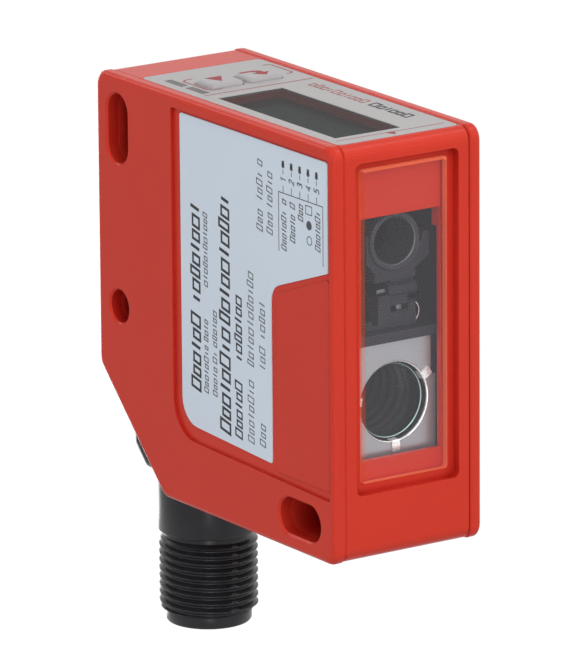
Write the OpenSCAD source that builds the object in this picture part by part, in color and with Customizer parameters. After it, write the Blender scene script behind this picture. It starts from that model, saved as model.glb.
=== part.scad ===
// Optical distance sensor: a flat red housing between two side covers, with a window at
// the front, a keypad and a display on top, and a plug that turns on the cut rear corner.
// X runs across the width, Y from the front to the rear, Z from the bottom to the top.
// The origin is on the axis of the round fixing hole, half way across the width.

/* [Body] */
// Width over both side covers
body_w = 21; // [19:0.5:30]
// Depth from front to rear
body_d = 50; // [44:0.5:70]
// Height from bottom to top
body_h = 50; // [46:0.5:70]
// Leg of the 45 degree cut at the lower rear corner
cut_leg = 13.8; // [12.5:0.1:16.6]
// Radius of the corners seen from the side
corner_r = 1.6; // [0.6:0.1:3]
// Wall of the housing at the bottom, the rear and the cut corner
wall = 1.8; // [1.4:0.1:2.4]
// Wall of the housing at the top
top_t = 1.6; // [1.5:0.1:2.2]
// Wall of the housing at the front
front_t = 2.4; // [2.2:0.1:3]

/* [Side covers] */
// Thickness of each side cover
cover_t = 1.65; // [1.3:0.05:2.4]
// Rounding of each cover's outer edge
cover_edge_r = 0.7; // [0.4:0.1:1.2]
// How far the covers stand proud of the housing all round
cover_proud = 0.1; // [0.05:0.05:0.5]
// Bevel on both sides of the seam between housing and cover
seam_bevel = 0.2; // [0.1:0.05:0.4]
// Depth of the label's pocket in the left cover
pocket_depth = 0.4; // [0.2:0.05:0.6]
// Height of the raised field beside the label
field_rise = 0.15; // [0.05:0.05:0.2]
// Depth of the lip that locates each cover inside the housing
lip_depth = 0.9; // [0.5:0.1:1.4]
// Width of that lip
lip_t = 0.7; // [0.5:0.1:1]

/* [Label] */
// Distance of the label's pocket from the front
pocket_from_front = 0.9; // [0.9:0.1:3]
// Distance of the pocket from the rear
pocket_from_rear = 16.3; // [12:0.1:20]
// Height of the pocket's lower edge at its front end
pocket_z = 7.7; // [7.2:0.1:12]
// How much higher that edge is at its rear end
pocket_slope = 0.8; // [0:0.1:1.5]
// Distance of the pocket's upper edge from the top
pocket_from_top = 1.5; // [1.2:0.1:4]
// Radius of the pocket's lower rear corner
pocket_r = 4.5; // [1:0.1:6]
// Length of the raised field
field_l = 10.9; // [6:0.1:14]
// Height of the raised field at its rear end
field_h = 21.4; // [15:0.1:26]
// How much higher the field is at its front end
field_slope = 4.1; // [1:0.1:6]
// Thickness of the label
label_t = 0.12; // [0.05:0.01:0.2]

/* [Fixing holes] */
// Diameter of the round fixing hole
hole_d = 4; // [3:0.1:4.8]
// Height of the round fixing hole above the bottom
hole_z = 21.6; // [18:0.1:27]
// Distance of the round hole and the rear slot from the rear
hole_from_rear = 4.6; // [4.4:0.1:6]
// Width of both fixing slots
slot_w = 4.4; // [3.6:0.1:5.3]
// Length of both fixing slots
slot_l = 8.5; // [7:0.1:10.2]
// Distance of the rear slot's middle from the top
rear_slot_from_top = 6.5; // [6:0.1:9]
// Distance of the front slot's middle from the front
front_slot_y = 7.3; // [7.2:0.1:10]
// Height of the front slot's middle above the bottom
front_slot_z = 4.1; // [3.9:0.1:5]
// Wall of the sleeves round the holes and slots
sleeve_t = 1.2; // [0.8:0.1:1.5]
// Bevel at the mouths of the holes and slots
mouth_bevel = 0.25; // [0.1:0.05:0.4]

/* [Front window] */
// Margin between the window's recess and the housing's side
window_margin = 1.6; // [1.2:0.1:2.5]
// Height of the recess's lower edge
window_z = 8; // [8:0.1:10]
// Distance of the recess's upper edge from the top
window_from_top = 2.3; // [2:0.1:4]
// Depth of the recess
recess_depth = 1.2; // [0.8:0.1:1.3]
// Width of the channel beside and below the pane
channel_w = 1.2; // [0.8:0.1:1.8]
// Width of the channel above the pane
top_channel_w = 0.9; // [0.6:0.1:1.8]
// Thickness of the pane
pane_t = 1.2; // [1:0.1:1.4]
// Depth of the pane's front face behind the housing's face
pane_depth = 0.5; // [0.2:0.1:0.7]
// Width of the ledge that the pane is bonded to, at the sides and the bottom
ledge_w = 0.35; // [0.3:0.05:0.9]
// Height of the opening behind the pane
opening_h = 29; // [24:0.5:30]
// Height of the solid strip below that opening
sill_h = 2.4; // [1:0.1:3]

/* [Keypad and display] */
// Thickness of the printed foil
foil_t = 0.3; // [0.2:0.05:0.4]
// Distance of the foil from the front
foil_from_front = 1.7; // [1.5:0.1:3]
// Length of the foil
foil_l = 41.4; // [40:0.1:44]
// Width of the display's opening
display_w = 9.2; // [8:0.1:11.5]
// Length of the display's opening
display_l = 24.4; // [20.2:0.1:25]
// Distance of the display's opening from the front
display_from_front = 4.7; // [4.6:0.1:6]
// Sideways place of the display's middle
display_x = -2.3; // [-2.4:0.1:-1]
// Width of each of the two steps under the display's opening
step_w = 0.35; // [0.2:0.05:0.5]
// Height of each step
step_h = 0.35; // [0.25:0.05:0.4]
// Length of a key across the body
key_w = 4.9; // [3.8:0.1:5]
// Width of a key along the body
key_l = 3.9; // [3.2:0.1:4.6]
// How far a key stands above the foil
key_rise = 0.5; // [0.3:0.05:0.8]
// Travel of a key
key_travel = 0.3; // [0.2:0.05:0.35]
// Distance between the two keys
key_pitch = 5.5; // [5.4:0.1:6]
// Sideways place of the first key's middle
key_x = -2.6; // [-2.6:0.1:-1.5]
// Distance of the keys from the front
key_y = 35.1; // [33.5:0.1:37]
// Gap all round a key
key_gap = 0.12; // [0.08:0.01:0.2]

/* [Transmitter] */
// Outer diameter of the laser's tube
tube_d = 7; // [5.8:0.1:8.4]
// Length of the laser's tube
tube_l = 12; // [10:0.5:14]
// Height of the tube's axis above the bottom
tube_z = 37.1; // [36.4:0.1:38]
// Distance of the tube's front end from the front
tube_y = 2.6; // [2.6:0.1:4]
// Wall of the tube
tube_t = 0.7; // [0.5:0.1:1]
// Diameter of the hinge pin under the cradle
pin_d = 1.05; // [0.8:0.05:1.2]

/* [Receiver] */
// Diameter of the receiving lens
lens_d = 9.8; // [8.4:0.1:10.4]
// Height of the lens's axis above the bottom
lens_z = 17.7; // [17:0.1:19]
// Thickness of the sheet metal plate round the lens
plate_t = 0.5; // [0.3:0.05:0.6]
// Distance of the plate's face from the front
plate_y = 3; // [2.8:0.1:3.4]
// Distance of the light sensor from the front
sensor_y = 26; // [22:0.5:29]

/* [Turning plug] */
// Outer diameter of the plug's thread
plug_d = 12; // [11.5:0.1:12.5]
// Length of the thread
thread_l = 10; // [8:0.5:12]
// Distance of the plug's axis from the rear, and from the bottom once it is turned
plug_from_rear = 7.6; // [7.5:0.1:8.4]
// Depth of the smooth collar below the bottom
collar_l = 7.1; // [6:0.1:10]
// Diameter of the smooth collar
collar_d = 12.2; // [11.8:0.1:12.6]
// Diameter of the smooth tip
tip_d = 10.4; // [9.8:0.1:10.6]
// Length of the smooth tip
tip_l = 1.4; // [1:0.1:2]
// Diameter of the swivel's hub in the housing
hub_d = 11; // [9.5:0.1:11.4]
// Gap all round the hub
hub_gap = 0.05; // [0.03:0.01:0.09]
// Diameter of a contact pin
contact_d = 1; // [0.8:0.05:1.1]

/* [Hidden] */
$fn = 48;
RED = [0.80, 0.20, 0.15];
BLACK = [0.13, 0.13, 0.14];
SILVER = [0.68, 0.69, 0.71];
FOIL = [0.76, 0.77, 0.79];
BOARD = [0.10, 0.32, 0.16];
CLEAR = [0.75, 0.85, 0.88, 0.4];
eps = 0.01;
seat = 0.05; // gap between a piece and what it is placed against

// Places on the body, measured from its front, its bottom and its middle
hole_y = body_d - hole_from_rear;
half_w = body_w / 2;
shell_w = body_w - 2 * cover_t;
shell_x = shell_w / 2;
rear_slot = [hole_y, body_h - rear_slot_from_top];
front_slot = [front_slot_y, front_slot_z];
cut_y = body_d - cut_leg / 2;
cut_z = cut_leg / 2;
board_t = 1;

// Main board, upright beside the right cover
board_x = shell_x - 1.6;
board_y0 = 17;
board_y1 = hole_y - max(hole_d, slot_w) / 2 - sleeve_t - 0.4;
board_cut = body_d - cut_leg - 6.1;
board_z0 = 6;
board_z1 = body_h - 7;
board_points = [[board_y0, board_z0], [board_z0 + board_cut, board_z0], [board_y1, board_y1 - board_cut],
                [board_y1, board_z1], [board_y0, board_z1]];
board_posts = [[board_y0 + 3, board_z0 + 12], [board_y1 - 3, board_z1 - 9]];
post_d = 3;
screw_d = 1.3;

// Window and what lies behind it
recess_w = shell_w - 2 * window_margin;
recess_top = body_h - window_from_top;
pane_w = recess_w - 2 * channel_w;
pane_bottom = window_z + channel_w;
pane_top = recess_top - top_channel_w;
opening_w = pane_w - 2 * ledge_w;
opening_bottom = pane_bottom + sill_h;
opening_top = opening_bottom + opening_h;
window_r = 0.8;
block_w = 1.35;
block_hold = 0.8;
block_h = 2.5;
block_t = 1;

// Keypad and display
foil_w = shell_w - 2 * seam_bevel - 0.3;
foil_z = body_h - cover_proud - foil_t;
display_y = display_from_front + display_l / 2;
glass_z = foil_z - 2 * step_h - seat;
module_t = 1.8;
top_board_z = glass_z - module_t;
under_top = body_h - cover_proud - top_t;
light_x = key_x - key_w / 2 - 1.55;
light_w = 1;
light_l = 3.7;
light_y = key_y - 1.3;
light_pitch = light_l + 0.8;
led_h = 0.5;
key_flange_t = 0.4;
top_board_w = shell_w - 2.6;
top_board_y0 = 4;
top_board_y1 = hole_y - slot_w / 2 - sleeve_t - 0.4;

// Transmitter and receiver
chassis_w = opening_w + 2 * block_hold + 0.2;
chassis_t = 0.8;
chassis_y = front_t + seat;
chassis_l = 13.5;
chassis_bottom = front_slot_z + slot_w / 2 + sleeve_t + seat;
chassis_top = top_board_z - board_t - seat;
shelf_z = 26.3;
shelf_t = 1.2;
knuckle_d = 1.9;
knuckle_x0 = -0.25;
knuckle_x1 = 3.8;
bracket_x0 = -1.65;
bracket_x1 = 3.7;
bracket_post = 1.8;
adjust_x = 1.8;
knuckle_z = tube_z - tube_d / 2 - 2.75;
cradle_y = tube_y + 0.3;
cradle_l = 6;
hinge_y = cradle_y + 1.6;
notch_z = knuckle_z - 2.6;
foot_z = knuckle_z + 1.5;
screw_head_h = 0.7;
lens_y = plate_y + plate_t + 0.4;
lens_t = 1.6;
lens_bulge = 0.8;
lens_rim = 0.5;
lens_wall_y = plate_y + plate_t + 3.2;
baffle_d = lens_d + 0.8;
sensor_board_y = sensor_y + 1.6;

// Turning plug, measured along the swivel's axis outward from the cut corner
plug_y = body_d - plug_from_rear;
elbow_side = 0.4;
elbow_w = 12;
elbow_bevel = 2.6;
elbow_gap = 0.1;
hub_l = 5.2;
seal_w = -1.6;
seal_groove_d = hub_d - 1.7;
clip_t = 0.8;
clip_w = -wall - cover_proud - 2 * seat - clip_t - 0.1;
clip_groove_d = hub_d - 1.2;
neck_l = 0.6;
thread_top = -collar_l;
thread_bottom = thread_top - thread_l;
plug_bore = 8.6;
lead_bore = 6;
lead_d = 2.6;
meet_z = cut_z + cut_y - plug_y; // where the plug's axis meets the swivel's
meet_w = (plug_y - cut_y) * sqrt(2);
lead_w = lead_d / 2 + 0.3 - meet_w;
insert_top = thread_top + 1.5;
insert_l = 4;
contact_ring = 2.5;
contact_l = 6.2;
contact_places = [[0, 0], for (i = [0:3]) contact_ring * [cos(45 + 90 * i), sin(45 + 90 * i)]];

// General shapes

// Moves the body's own corner to its place from the fixing hole
module placed() {
  translate([0, -hole_y, -hole_z]) children();
}

function unit(v) = v / norm(v);

// The arc that rounds the corner q between p and s
function rounded_corner(p, q, s, r, n) =
  let (u = unit(p - q), v = unit(s - q), half = acos(u * v) / 2,
       c = q + unit(u + v) * r / sin(half), a = q + u * r / tan(half) - c, b = q + v * r / tan(half) - c,
       start = atan2(a[1], a[0]), turn = ((atan2(b[1], b[0]) - start + 540) % 360) - 180)
  [for (i = [0:n]) c + r * [cos(start + turn * i / n), sin(start + turn * i / n)]];

// A closed outline with each corner rounded, by one radius or by a list of them
function rounded(points, r, n = 6) =
  [for (i = [0:len(points) - 1])
    each rounded_corner(points[(i + len(points) - 1) % len(points)], points[i],
                        points[(i + 1) % len(points)], is_list(r) ? r[i] : r, n)];

function box_outline(w, l) = [[-w / 2, -l / 2], [w / 2, -l / 2], [w / 2, l / 2], [-w / 2, l / 2]];

// A side view outline of the body, drawn in by a distance on every side
function body_outline(inset, r) =
  let (d = inset, k = inset * tan(22.5),
       points = [[d, d], [body_d - cut_leg - k, d], [body_d - d, cut_leg + k],
                 [body_d - d, body_h - d], [d, body_h - d]])
  rounded(points, r);

// Extrudes a side view, drawn in Y and Z, from one X to another
module across(x0, x1) {
  translate([x0, 0, 0]) rotate([90, 0, 90]) linear_extrude(x1 - x0) children();
}

// Extrudes a front view, drawn in X and Z, from one Y to another
module rearward(y0, y1) {
  translate([0, y1, 0]) rotate([90, 0, 0]) linear_extrude(y1 - y0) children();
}

// A round bar or hole along X at a point of the side view
module bar_x(d, x0, x1, at) {
  translate([x0, at[0], at[1]]) rotate([0, 90, 0]) cylinder(d = d, h = x1 - x0);
}

// A round bar or hole along Y
module bar_y(d, y0, y1, x, z) {
  translate([x, y0, z]) rotate([-90, 0, 0]) cylinder(d = d, h = y1 - y0);
}

// A long hole's outline, along the first axis of the drawing
module slot_outline(l, w) {
  for (s = [-1, 1]) translate([s * (l - w) / 2, 0]) circle(d = w);
  square([l - w, w], center = true);
}

// Both fixing slots in the side view, grown by a distance on every side
module slots_outline(grow) {
  translate(rear_slot) rotate(90) slot_outline(slot_l + 2 * grow, slot_w + 2 * grow);
  translate(front_slot) slot_outline(slot_l + 2 * grow, slot_w + 2 * grow);
}

// The convex body between two X planes, with its edges drawn in as given at each plane
module body_slices(slices) {
  hull() for (s = slices) across(s[0] - eps / 2, s[0] + eps / 2) polygon(body_outline(s[1], corner_r));
}

// Places children at the cut corner, with their Z along the swivel's axis, outward
module at_swivel() {
  translate([0, cut_y, cut_z]) rotate([-135, 0, 0]) children();
}

// Housing

// The hollow inside the housing, seen from the side and drawn in by a distance
module cavity_outline(inset) {
  d = wall + cover_proud + inset;
  k = d * tan(22.5);
  polygon(rounded([[front_t + inset, d], [body_d - cut_leg - k, d], [body_d - d, cut_leg + k],
                   [body_d - d, under_top - inset], [front_t + inset, under_top - inset]], 0.6));
}

module hole_mouth(x, out) {
  translate([x, hole_y, hole_z]) rotate([0, 90 * out, 0]) translate([0, 0, -mouth_bevel])
    cylinder(d1 = hole_d, d2 = hole_d + 2 * mouth_bevel + 2 * eps, h = mouth_bevel + eps);
}

module fixing_holes(x0, x1) {
  bar_x(hole_d, x0, x1, [hole_y, hole_z]);
  across(x0, x1) slots_outline(0);
}

module sleeves() {
  intersection() {
    union() {
      bar_x(hole_d + 2 * sleeve_t, -shell_x, shell_x, [hole_y, hole_z]);
      across(-shell_x, shell_x) slots_outline(sleeve_t);
    }
    across(-shell_x, shell_x) polygon(body_outline(cover_proud + 0.3, corner_r));
  }
}

// The recess, its channel and the seat of the pane
module window_cut() {
  mid = (window_z + recess_top) / 2;
  rearward(-1, recess_depth) translate([0, mid])
    polygon(rounded(box_outline(recess_w, recess_top - window_z), window_r));
  rearward(-1, pane_depth + pane_t) translate([0, (pane_bottom + pane_top) / 2])
    polygon(rounded(box_outline(pane_w + 2 * seat, pane_top - pane_bottom + 2 * seat), window_r / 2));
  rearward(-1, front_t + 1) translate([0, (opening_bottom + opening_top) / 2])
    square([opening_w, opening_h], center = true);
}

module top_cuts() {
  translate([0, foil_from_front + foil_l / 2, foil_z])
    linear_extrude(2) polygon(rounded(box_outline(foil_w + 2 * seat, foil_l + 2 * seat), 0.8));
  for (i = [1, 2]) translate([display_x, display_y, foil_z - i * step_h - eps])
    linear_extrude(2) square([display_w - 2 * i * step_w, display_l - 2 * i * step_w], center = true);
  translate([display_x, display_y, 0]) translate([0, 0, under_top - 1])
    linear_extrude(glass_z + seat - under_top + 1)
      square([display_w + 0.6, display_l + 0.6], center = true);
  translate([0, 0, under_top - 1]) linear_extrude(4) keys_outline(key_gap);
  translate([0, 0, under_top - 1]) linear_extrude(4) lights_outline(seat);
}

module housing() {
  color(RED) placed() difference() {
    union() {
      difference() {
        union() {
          across(seam_bevel - shell_x, shell_x - seam_bevel) polygon(body_outline(cover_proud, corner_r));
          for (s = [-1, 1]) body_slices([[s * (shell_x - eps / 2), cover_proud + seam_bevel],
                                         [s * (shell_x - seam_bevel - eps / 2), cover_proud]]);
        }
        across(-shell_x - 1, shell_x + 1) cavity_outline(0);
      }
      sleeves();
      // Block at the upper right corner of the opening
      translate([opening_w / 2 - block_w, front_t - eps, opening_top - block_h])
        cube([block_w + block_hold, block_t, block_h + 1.2]);
      translate([opening_w / 2 - block_w, front_t - 0.5, opening_top - block_h])
        cube([block_w + block_hold, 0.5, block_h + 1.2]);
    }
    fixing_holes(-half_w, half_w);
    window_cut();
    top_cuts();
    at_swivel() translate([0, 0, -2 * wall - 3]) cylinder(d = hub_d + 2 * hub_gap, h = 3 * wall + 6);
  }
}

// Side covers

// The lip inside the housing's rim, kept clear of the sleeves
module cover_lip() {
  difference() {
    across(shell_x - lip_depth, shell_x + eps) difference() {
      cavity_outline(2 * seat);
      cavity_outline(2 * seat + lip_t);
    }
    across(0, half_w) slots_outline(sleeve_t + 2 * seat);
    bar_x(hole_d + 2 * sleeve_t + 4 * seat, 0, half_w, [hole_y, hole_z]);
    at_swivel() translate([0, 0, -8]) cylinder(d = hub_d + 3.4, h = 9);
  }
}

// A cover on the right side, with its outer edge rounded
module cover_blank() {
  steps = 5;
  round_x = half_w - cover_edge_r;
  difference() {
    union() {
      body_slices(concat(
        [[shell_x + eps / 2, seam_bevel], [shell_x + seam_bevel, 0]],
        [for (i = [0:steps]) let (a = 90 * i / steps)
          [round_x + cover_edge_r * sin(a) - eps / 2, cover_edge_r * (1 - cos(a))]]));
      cover_lip();
    }
    fixing_holes(0, half_w + 1);
    hole_mouth(half_w, 1);
    for (at = [[rear_slot, 90], [front_slot, 0]]) hull() for (i = [0, 1])
      across(half_w - mouth_bevel * (1 - i), half_w + i) translate(at[0]) rotate(at[1])
        slot_outline(slot_l + 2 * i * mouth_bevel, slot_w + 2 * i * mouth_bevel);
  }
}

pocket_points = [[pocket_from_front, pocket_z], [body_d - pocket_from_rear, pocket_z + pocket_slope],
                 [body_d - pocket_from_rear, body_h - pocket_from_top],
                 [pocket_from_front, body_h - pocket_from_top]];
field_gap = 0.4;
field_lift = 1.1;
field_y = pocket_from_front + field_gap;
field_z = pocket_z + field_lift;
field_points = [[field_y, field_z], [field_y + field_l, field_z],
                [field_y + field_l, field_z + field_h], [field_y, field_z + field_h + field_slope]];

module left_cover() {
  color(RED) placed() difference() {
    mirror([1, 0, 0]) cover_blank();
    across(-half_w - 1, pocket_depth - half_w) difference() {
      polygon(rounded(pocket_points, [0.4, pocket_r, 0.4, 0.4]));
      polygon(rounded(field_points, [0.3, 0.3, 2.2, 0.4]));
    }
    across(-half_w - 1, pocket_depth - field_rise - half_w)
      polygon(rounded(field_points, [0.3, 0.3, 2.2, 0.4]));
  }
}

module right_cover() {
  color(RED) placed() difference() {
    union() {
      cover_blank();
      for (at = board_posts) bar_x(post_d, board_x + board_t, shell_x + eps, at);
    }
    for (at = board_posts) bar_x(screw_d, board_x, shell_x + 0.7, at);
  }
}

// The label fills the pocket and is cut out round the raised field
module label() {
  side = 0.65;
  top = body_h - pocket_from_top - 0.4;
  inner = field_y + field_l + 1.05;
  rear = body_d - pocket_from_rear - 1.5;
  bottom = pocket_z + 1.8;
  bottom_slope = 0.9;
  fold = field_z + field_h + 0.65;
  color(FOIL) placed() across(pocket_depth - label_t - half_w, pocket_depth - half_w)
    polygon(rounded([[pocket_from_front + side, fold + field_slope], [inner, fold],
                     [inner, bottom], [rear, bottom + bottom_slope], [rear, top],
                     [pocket_from_front + side, top]], [0.2, 2.4, 0.3, 3.2, 0.4, 0.4]));
}

// Window, foil, display and keys

module front_window() {
  edge = 0.3;
  mid = (pane_bottom + pane_top) / 2;
  color(CLEAR) placed() hull() {
    rearward(pane_depth, pane_depth + edge) translate([0, mid])
      polygon(rounded(box_outline(pane_w - 2 * edge, pane_top - pane_bottom - 2 * edge), 0.4));
    rearward(pane_depth + edge, pane_depth + pane_t) translate([0, mid])
      polygon(rounded(box_outline(pane_w, pane_top - pane_bottom), window_r / 2));
  }
}

module keys_outline(gap) {
  for (i = [0, 1]) translate([key_x + i * key_pitch, key_y])
    polygon(rounded(box_outline(key_w + 2 * gap, key_l + 2 * gap), 0.7));
}

module lights_outline(gap) {
  for (i = [0, 1]) translate([light_x, light_y + i * light_pitch])
    square([light_w + 2 * gap, light_l + 2 * gap], center = true);
}

module keypad_foil() {
  color(FOIL) placed() translate([0, 0, foil_z]) linear_extrude(foil_t) difference() {
    translate([0, foil_from_front + foil_l / 2])
      polygon(rounded(box_outline(foil_w, foil_l), 0.8));
    translate([display_x, display_y]) square([display_w, display_l], center = true);
    keys_outline(key_gap);
    lights_outline(seat);
  }
}

// Clear cover over the display, flush with the foil and resting on the first step
module display_window() {
  color(CLEAR) placed() translate([display_x, display_y, foil_z]) linear_extrude(foil_t - seat)
    square([display_w - 2 * seat, display_l - 2 * seat], center = true);
}

module display_module() {
  color([0.12, 0.12, 0.13]) placed() translate([display_x, display_y, top_board_z])
    linear_extrude(module_t) square([display_w + 0.4, display_l + 0.4], center = true);
}

// A key cap with a soft edged pad above the foil and a flange that holds it in
module key_cap(index) {
  top = body_h - cover_proud + key_rise;
  soft = 0.45;
  flange_z = under_top - seat - key_flange_t;
  color([0.88, 0.88, 0.88]) placed() translate([key_x + index * key_pitch, key_y, 0]) {
    hull() {
      translate([0, 0, flange_z + key_flange_t - eps])
        linear_extrude(top - soft - flange_z - key_flange_t) polygon(rounded(box_outline(key_w, key_l), 0.7));
      translate([0, 0, top - 0.4 * soft]) linear_extrude(eps)
        polygon(rounded(box_outline(key_w - 0.5 * soft, key_l - 0.5 * soft), 0.7));
      translate([0, 0, top - eps]) linear_extrude(eps)
        polygon(rounded(box_outline(key_w - 2 * soft, key_l - 2 * soft), 0.6));
    }
    translate([0, 0, flange_z]) linear_extrude(key_flange_t)
      polygon(rounded(box_outline(key_w + 0.35, key_l + 1), 0.7));
  }
}

module select_button() { key_cap(0); }
module enter_button() { key_cap(1); }

// Low metal domes on the board, one under each key
module key_switches() {
  h = under_top - 2 * seat - key_flange_t - key_travel - top_board_z;
  color(SILVER) placed() for (i = [0, 1]) translate([key_x + i * key_pitch, key_y, top_board_z]) {
    linear_extrude(h / 2) square([3.6, 3], center = true);
    cylinder(d1 = 2.6, d2 = 1.4, h = h);
  }
}

module light_pipes() {
  bottom = top_board_z + led_h + seat;
  color([0.16, 0.15, 0.16]) placed() translate([0, 0, bottom])
    linear_extrude(body_h - cover_proud - bottom) lights_outline(0);
}

module status_leds() {
  color([0.9, 0.88, 0.8]) placed() for (i = [0, 1])
    translate([light_x, light_y + i * light_pitch, top_board_z])
      linear_extrude(led_h) square([0.9, 1.7], center = true);
}

// Boards

module keypad_board() {
  color(BOARD) placed() translate([0, 0, top_board_z - board_t]) linear_extrude(board_t)
    translate([0, (top_board_y0 + top_board_y1) / 2])
      polygon(rounded(box_outline(top_board_w, top_board_y1 - top_board_y0), 0.8));
}

module main_board() {
  color(BOARD) placed() difference() {
    across(board_x, board_x + board_t) polygon(rounded(board_points, 1));
    for (at = board_posts) bar_x(screw_d + 0.3, board_x - 1, board_x + board_t + 1, at);
  }
}

// A flat component on the board's inner face
module chip(y, z, l, h, t) {
  translate([board_x - t, y, z]) cube([t, l, h]);
}

module board_chips() {
  color([0.15, 0.15, 0.16]) placed() {
    chip(board_y0 + 4, board_z0 + 15, 7, 7, 1);
    chip(board_y0 + 14, board_z0 + 16, 5, 4, 0.9);
    chip(board_y0 + 5, board_z0 + 27, 4, 5, 0.9);
  }
}

module board_capacitors() {
  color([0.72, 0.6, 0.32]) placed()
    for (i = [0:2]) chip(board_y0 + 3 + 4 * i, board_z0 + 4, 2.6, 4.2, 1.5);
}

module board_screws() {
  color(SILVER) placed() for (at = board_posts) {
    bar_x(screw_d - 2 * seat, board_x - eps, shell_x + 0.6, at);
    bar_x(2.6, board_x - 1, board_x, at);
  }
}

// Flat cable from the keypad's board down to the main board
module ribbon_cable() {
  color([0.82, 0.55, 0.2]) placed() translate([board_x - 0.2, board_y0 + 6, board_z1 - 3])
    cube([0.2, 8, top_board_z - board_t - board_z1 + 3]);
}

// Optics

// The black frame that carries both optical paths behind the window
module optics_chassis() {
  inner = chassis_w / 2;
  outer = inner + chassis_t;
  back = chassis_y + chassis_l;
  low = chassis_bottom + chassis_t;
  low_h = shelf_z - shelf_t - low;
  color(BLACK) placed() difference() {
    translate([-outer, chassis_y, chassis_bottom])
      cube([2 * outer, chassis_l, chassis_top - chassis_bottom]);
    // Upper chamber, round the transmitter
    translate([-inner, chassis_y - 1, shelf_z])
      cube([2 * inner, chassis_l, chassis_top - chassis_t - shelf_z]);
    // Lower chamber, in front of and behind the lens wall
    translate([-inner, chassis_y - 1, low])
      cube([2 * inner, plate_y + plate_t + seat - chassis_y + 1, low_h]);
    translate([-inner, lens_wall_y, low]) cube([2 * inner, back - 1 - lens_wall_y, low_h]);
    bar_y(lens_d + 2 * seat, chassis_y, lens_wall_y + 1, 0, lens_z);
    bar_y(baffle_d + 4 * seat, lens_wall_y, back + 1, 0, lens_z);
    bar_y(tube_d + 1, back - 3, back + 1, 0, tube_z);
    // The tube's cradle is adjusted through this slot
    bar_x(2.4, -outer - 1, -inner + 1, [hinge_y, knuckle_z]);
  }
}

// Half of an octagon round the tube, open at the top
module cradle_outline() {
  arm = tube_d / 2 + 1.5;
  short_arm = tube_d / 2 + 0.4;
  foot = tube_d / 2 - 0.45;
  short_foot = tube_d / 2 - 0.8;
  polygon([[-short_foot, foot_z], [foot, foot_z], [foot, foot_z + 1.1], [arm, foot_z + 2.4],
           [arm, tube_z + 0.5], [arm - 0.95, tube_z + 0.5], [arm - 0.95, tube_z - 0.6],
           [0.9 - short_arm, tube_z - 0.6], [0.9 - short_arm, tube_z + 1], [-short_arm, tube_z + 1],
           [-short_arm, foot_z + 2.4], [-short_foot, foot_z + 1.1]]);
}

module laser_cradle() {
  web = 0.5;
  color(BLACK) placed() difference() {
    union() {
      rearward(cradle_y, cradle_y + cradle_l) cradle_outline();
      translate([knuckle_x0 + web, hinge_y - web, knuckle_z])
        cube([knuckle_x1 - knuckle_x0 - 2 * web, 2 * web, foot_z - knuckle_z + eps]);
      // Tongue between the bracket's posts, resting on the screw's head
      translate([bracket_x0 + bracket_post + 0.1, hinge_y - 0.65, notch_z + screw_head_h + seat])
        cube([bracket_x1 - bracket_x0 - bracket_post - 1.2, 1.6, knuckle_z - notch_z - screw_head_h]);
      bar_x(knuckle_d, knuckle_x0, knuckle_x1, [hinge_y, knuckle_z]);
    }
    bar_y(tube_d + 2 * seat, cradle_y - 1, cradle_y + cradle_l + 1, 0, tube_z);
    bar_x(pin_d + 2 * seat, knuckle_x0 - 2, knuckle_x1 + 2, [hinge_y, knuckle_z]);
  }
}

module hinge_pin() {
  color(SILVER) placed() bar_x(pin_d, bracket_x0 - 0.05, knuckle_x1 - 0.3, [hinge_y, knuckle_z]);
}

// The fork that the cradle tilts in, with a foot that is pegged to the shelf
module laser_bracket() {
  front = hinge_y - 0.75;
  length = 3.6;
  peg_d = 1.3;
  color(BLACK) placed() difference() {
    union() {
      rearward(front, front + length) polygon([
        [bracket_x0, shelf_z + seat], [bracket_x1, shelf_z + seat], [bracket_x1, knuckle_z - 1.5],
        [bracket_x1 - 1, knuckle_z - 1.5], [bracket_x1 - 1, notch_z],
        [bracket_x0 + bracket_post, notch_z],
        [bracket_x0 + bracket_post, knuckle_z - pin_d / 2 + 0.2],
        [bracket_x0, knuckle_z - pin_d / 2]]);
      translate([bracket_x0 - 1.8, front, shelf_z + seat]) cube([1.9, length, 0.6]);
      translate([bracket_x0 - 1.1, front + 0.8, shelf_z + seat]) cylinder(d = peg_d, h = 1.1);
    }
    bar_x(knuckle_d + 2 * seat, knuckle_x0 - seat, bracket_x1 + 1, [hinge_y, knuckle_z]);
    bar_x(pin_d + 2 * seat, bracket_x0 - 1, bracket_x1 + 1, [hinge_y, knuckle_z]);
    translate([adjust_x, hinge_y + 0.3, shelf_z]) cylinder(d = 0.8 + 2 * seat, h = 6);
  }
}

// Screw that sets the cradle's tilt
module adjusting_screw() {
  color(SILVER) placed() translate([adjust_x, hinge_y + 0.3, 0]) {
    translate([0, 0, shelf_z + seat]) cylinder(d = 0.8, h = notch_z - shelf_z);
    translate([0, 0, notch_z]) cylinder(d = 1.3, h = screw_head_h);
  }
}

// Bent strip that presses the cradle against its screw
module leaf_spring() {
  r = 1.4;
  t = 0.16;
  inset = 0.87;
  color(SILVER) placed() rearward(hinge_y - 0.7, hinge_y + 0.5)
    translate([bracket_x1 + seat - inset, shelf_z + seat + r + 0.2]) difference() {
      intersection() {
        circle(r = r);
        translate([inset, -r]) square([r, 2 * r]);
      }
      circle(r = r - t);
    }
}

module laser_tube() {
  color([0.25, 0.25, 0.27]) placed() difference() {
    bar_y(tube_d, tube_y, tube_y + tube_l, 0, tube_z);
    bar_y(tube_d - 2 * tube_t, tube_y - 1, tube_y + tube_l + 1, 0, tube_z);
  }
}

// Small lens inside the tube, in a thick rim
module laser_lens() {
  color(CLEAR) placed() bar_y(tube_d - 2 * tube_t - 2 * seat, tube_y + 5.4, tube_y + 6.8, 0, tube_z);
}

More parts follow.
